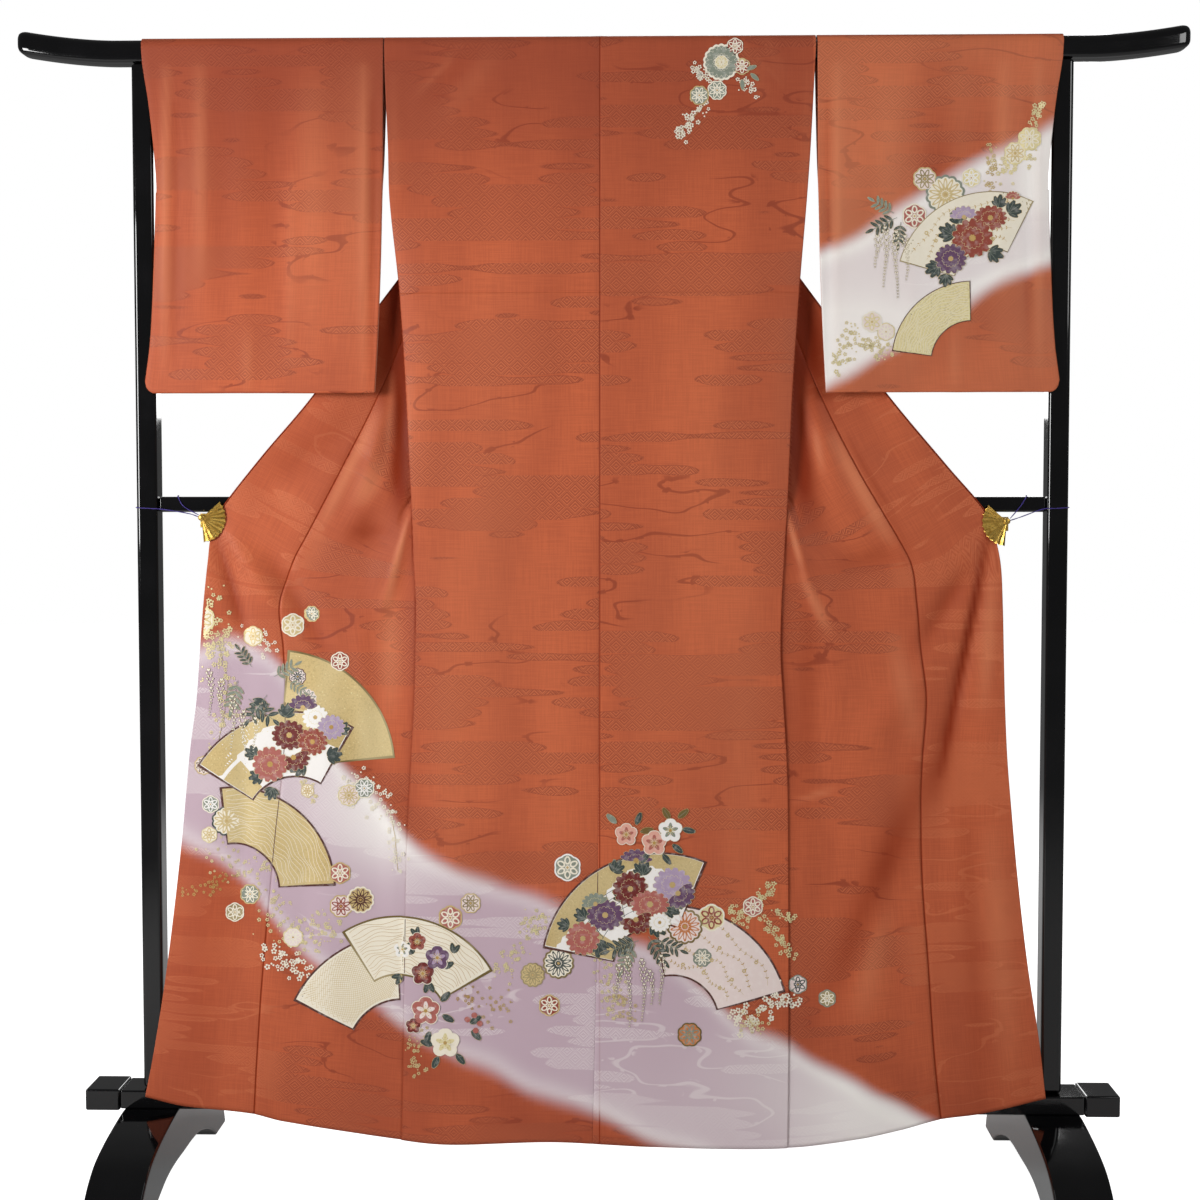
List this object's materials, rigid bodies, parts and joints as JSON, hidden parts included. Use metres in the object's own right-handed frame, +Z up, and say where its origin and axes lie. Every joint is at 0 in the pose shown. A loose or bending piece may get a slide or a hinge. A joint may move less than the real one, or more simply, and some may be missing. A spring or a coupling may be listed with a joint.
{
  "type": "visiting kimono on a kimono stand",
  "caption": "Long silk visiting kimono hung over the rail of a black lacquered stand, back shown, both fronts clipped open, with wide sleeves and a curved hem band",
  "frame": {"origin": "on the floor under the middle of the stand", "axes": "+X to the wearer's right sleeve, seen on the right from the back of the garment; +Y away from the shown back of the garment; +Z up"},
  "size_m": [1.66, 0.524, 1.6678],
  "materials": {
    "silk": "figured silk with a soft sheen",
    "lacquer": "polished black lacquer on wood",
    "gilt": "gilt metal",
    "braid": "twisted cord"
  },
  "bodies": {
    "root": {"body_left": "silk", "body_right": "silk", "overlap_left": "silk", "overlap_right": "silk", "sleeve_left": "silk", "sleeve_right": "silk", "collar_band": "silk", "stand_top_rail": "lacquer", "stand_middle_rail": "lacquer", "stand_base_plank": "lacquer", "stand_post_left": "lacquer", "stand_post_right": "lacquer", "stand_plank_cap_left": "lacquer", "stand_plank_cap_right": "lacquer", "stand_foot_left": "lacquer", "stand_foot_right": "lacquer", "clip_left": "gilt", "clip_right": "gilt", "clip_cord_left": "braid", "clip_cord_right": "braid"}
  },
  "joints": []
}
